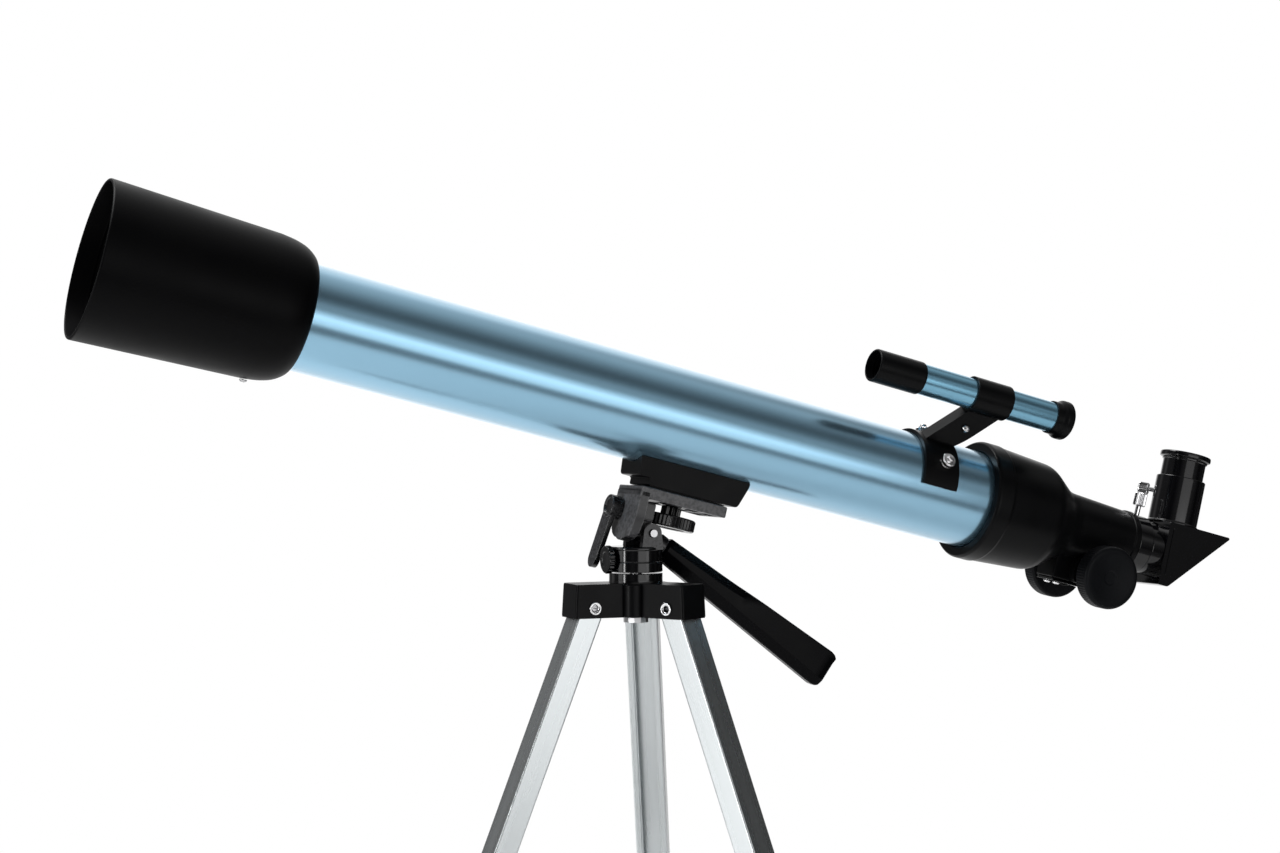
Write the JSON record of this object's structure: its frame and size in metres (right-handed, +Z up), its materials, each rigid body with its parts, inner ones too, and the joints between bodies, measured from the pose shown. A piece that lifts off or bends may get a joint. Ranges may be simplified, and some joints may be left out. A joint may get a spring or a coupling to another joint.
{
  "type": "refracting telescope on table tripod",
  "caption": "Small refracting telescope with rack focuser, star diagonal, eyepiece and finder on a pan and tilt head and a folding three-legged table tripod.",
  "frame": {"origin": "on the floor, at the middle of the object's footprint box", "axes": "+X from the objective end to the eyepiece end, +Z up, +Y to the side away from the finder"},
  "size_m": [0.6567, 0.2522, 0.4805],
  "materials": {
    "tube_blue": "satin metallic blue lacquer",
    "black_satin": "satin black moulded plastic",
    "black_gloss": "gloss black moulded plastic",
    "rubber_black": "matt black rubber",
    "chrome": "bright plated",
    "steel": "plain turned steel",
    "leg_aluminium": "satin anodised",
    "optical_glass": "coated optical glass"
  },
  "bodies": {
    "tripod_crown": {"crown": "black_gloss", "pan_bolt": "steel", "leg_rivet_1": "chrome", "leg_rivet_2": "chrome", "leg_rivet_3": "chrome"},
    "pan_head": {"pan_base": "black_gloss", "tilt_pin": "steel"},
    "tilt_block": {"tilt_head": "black_gloss", "flip_bolt": "steel"},
    "flip_clamp": {"flip_lever": "black_gloss"},
    "handle": {"pan_handle": "black_gloss"},
    "pan_lock_screw": {"pan_lock": "black_gloss"},
    "telescope": {"camera_platform": "black_gloss", "platform_pad": "rubber_black", "saddle": "black_satin", "main_tube": "tube_blue", "dew_shield": "black_satin", "objective_cell": "black_satin", "objective_lens": "optical_glass", "shield_screw": "steel", "focuser_body": "black_satin", "pinion_cover": "black_gloss", "cover_screw_near": "chrome", "cover_screw_far": "chrome", "finder_bracket": "black_satin", "finder_tube": "tube_blue", "finder_hood": "black_satin", "finder_eyecup": "black_satin", "finder_lens": "optical_glass"},
    "mount_screw": {"camera_screw": "black_gloss"},
    "focus_pinion": {"pinion": "steel", "focus_knob_near": "rubber_black", "focus_knob_far": "rubber_black"},
    "focus_tube": {"drawtube": "black_gloss", "focus_rack": "black_gloss"},
    "focus_tube_screw": {"drawtube_screw": "chrome"},
    "star_diagonal": {"diagonal_body": "black_gloss", "diagonal_prism": "optical_glass", "eyepiece_socket": "black_gloss"},
    "socket_screw": {"eyepiece_screw": "chrome"},
    "ocular": {"eyepiece": "black_gloss", "eyepiece_lens": "optical_glass"},
    "finder_near_nut": {"finder_nut_near": "chrome"},
    "finder_far_nut": {"finder_nut_far": "chrome"},
    "finder_side_screw": {"finder_clamp_screw": "chrome"},
    "leg_1": {"leg_upper_1": "leg_aluminium", "leg_clamp_1": "black_gloss"},
    "leg_lock_1": {"leg_lever_1": "black_gloss"},
    "leg_slide_1": {"leg_lower_1": "leg_aluminium", "leg_foot_1": "rubber_black"},
    "leg_2": {"leg_upper_2": "leg_aluminium", "leg_clamp_2": "black_gloss"},
    "leg_lock_2": {"leg_lever_2": "black_gloss"},
    "leg_slide_2": {"leg_lower_2": "leg_aluminium", "leg_foot_2": "rubber_black"},
    "leg_3": {"leg_upper_3": "leg_aluminium", "leg_clamp_3": "black_gloss"},
    "leg_lock_3": {"leg_lever_3": "black_gloss"},
    "leg_slide_3": {"leg_lower_3": "leg_aluminium", "leg_foot_3": "rubber_black"}
  },
  "joints": [
    {"name": "pan", "type": "hinge", "parent": "tripod_crown", "child": "pan_head", "pos_m": [-0.03786, 0, 0.28751], "axis": [0, 0, 1], "range_deg": [-15, 15]},
    {"name": "pan_lock_turn", "type": "hinge", "parent": "pan_head", "child": "pan_lock_screw", "pos_m": [-0.03786, 0, 0.29426], "axis": [1, 0, 0], "continuous": true},
    {"name": "tilt", "type": "hinge", "parent": "pan_head", "child": "tilt_block", "pos_m": [-0.03386, 0, 0.30801], "axis": [0, 1, 0], "range_deg": [-12, 8]},
    {"name": "handle_twist", "type": "hinge", "parent": "tilt_block", "child": "handle", "pos_m": [-0.03386, 0, 0.30801], "axis": [0.8111, 0, -0.585], "range_deg": [0, 90]},
    {"name": "flip_lever_turn", "type": "hinge", "parent": "tilt_block", "child": "flip_clamp", "pos_m": [-0.04809, 0.008, 0.32154], "axis": [0.9706, 0, -0.2409], "range_deg": [0, 30]},
    {"name": "flip", "type": "hinge", "parent": "tilt_block", "child": "telescope", "pos_m": [-0.04809, 0.008, 0.32154], "axis": [-0.9706, 0, 0.2409], "range_deg": [0, 90]},
    {"name": "mount_screw_turn", "type": "hinge", "parent": "telescope", "child": "mount_screw", "pos_m": [-0.01849, 0, 0.31626], "axis": [0.2409, 0, 0.9706], "continuous": true},
    {"name": "focus", "type": "slide", "parent": "telescope", "child": "focus_tube", "axis": [0.9706, 0, -0.2409], "range_m": [0, 0.06]},
    {"name": "focus_turn", "type": "hinge", "parent": "telescope", "child": "focus_pinion", "pos_m": [0.23745, 0.0014, 0.2806], "axis": [0.0147, 0.9981, 0.0593], "range_deg": [0, 860]},
    {"name": "focus_tube_screw_turn", "type": "hinge", "parent": "focus_tube", "child": "focus_tube_screw", "pos_m": [0.27016, 0, 0.29614], "axis": [0.2404, -0.061, 0.9687], "continuous": true},
    {"name": "diagonal_turn", "type": "hinge", "parent": "focus_tube", "child": "star_diagonal", "pos_m": [0.28472, 0, 0.29252], "axis": [0.9706, 0, -0.2409], "continuous": true},
    {"name": "socket_screw_turn", "type": "hinge", "parent": "star_diagonal", "child": "socket_screw", "pos_m": [0.30382, 0, 0.32384], "axis": [-0.6863, 0.7071, 0.1703], "continuous": true},
    {"name": "eyepiece_slide", "type": "slide", "parent": "star_diagonal", "child": "ocular", "axis": [0.2409, 0, 0.9706], "range_m": [0, 0.028]},
    {"name": "finder_near_nut_turn", "type": "hinge", "parent": "telescope", "child": "finder_near_nut", "pos_m": [0.12991, 0, 0.33094], "axis": [0.1093, -0.891, 0.4406], "continuous": true},
    {"name": "finder_far_nut_turn", "type": "hinge", "parent": "telescope", "child": "finder_far_nut", "pos_m": [0.12991, 0, 0.33094], "axis": [0.2364, 0.1908, 0.9527], "continuous": true},
    {"name": "finder_side_screw_turn", "type": "hinge", "parent": "telescope", "child": "finder_side_screw", "pos_m": [0.14839, -0.01775, 0.36386], "axis": [-0.1056, -0.8988, -0.4255], "continuous": true},
    {"name": "leg_1_fold", "type": "hinge", "parent": "tripod_crown", "child": "leg_1", "pos_m": [-0.02436, 0.02338, 0.27001], "axis": [-0.866, 0.5, 0], "range_deg": [0, 21.4]},
    {"name": "leg_1_extend", "type": "slide", "parent": "leg_1", "child": "leg_slide_1", "axis": [0.1824, 0.316, -0.9311], "range_m": [0, 0.12]},
    {"name": "leg_1_lever", "type": "hinge", "parent": "leg_1", "child": "leg_lock_1", "pos_m": [0.01953, 0.09941, 0.07779], "axis": [0.866, -0.5, 0], "range_deg": [0, 90]},
    {"name": "leg_2_fold", "type": "hinge", "parent": "tripod_crown", "child": "leg_2", "pos_m": [-0.06486, 0, 0.27001], "axis": [0, -1, 0], "range_deg": [0, 21.4]},
    {"name": "leg_2_extend", "type": "slide", "parent": "leg_2", "child": "leg_slide_2", "axis": [-0.3649, 0, -0.9311], "range_m": [0, 0.12]},
    {"name": "leg_2_lever", "type": "hinge", "parent": "leg_2", "child": "leg_lock_2", "pos_m": [-0.15265, 0, 0.07779], "axis": [0, 1, 0], "range_deg": [0, 90]},
    {"name": "leg_3_fold", "type": "hinge", "parent": "tripod_crown", "child": "leg_3", "pos_m": [-0.02436, -0.02338, 0.27001], "axis": [0.866, 0.5, 0], "range_deg": [0, 21.4]},
    {"name": "leg_3_extend", "type": "slide", "parent": "leg_3", "child": "leg_slide_3", "axis": [0.1824, -0.316, -0.9311], "range_m": [0, 0.12]},
    {"name": "leg_3_lever", "type": "hinge", "parent": "leg_3", "child": "leg_lock_3", "pos_m": [0.01953, -0.09941, 0.07779], "axis": [-0.866, -0.5, 0], "range_deg": [0, 90]}
  ],
  "couplings": [
    {"joint": "focus_turn", "follows": "focus", "rad_per_m": 250}
  ]
}
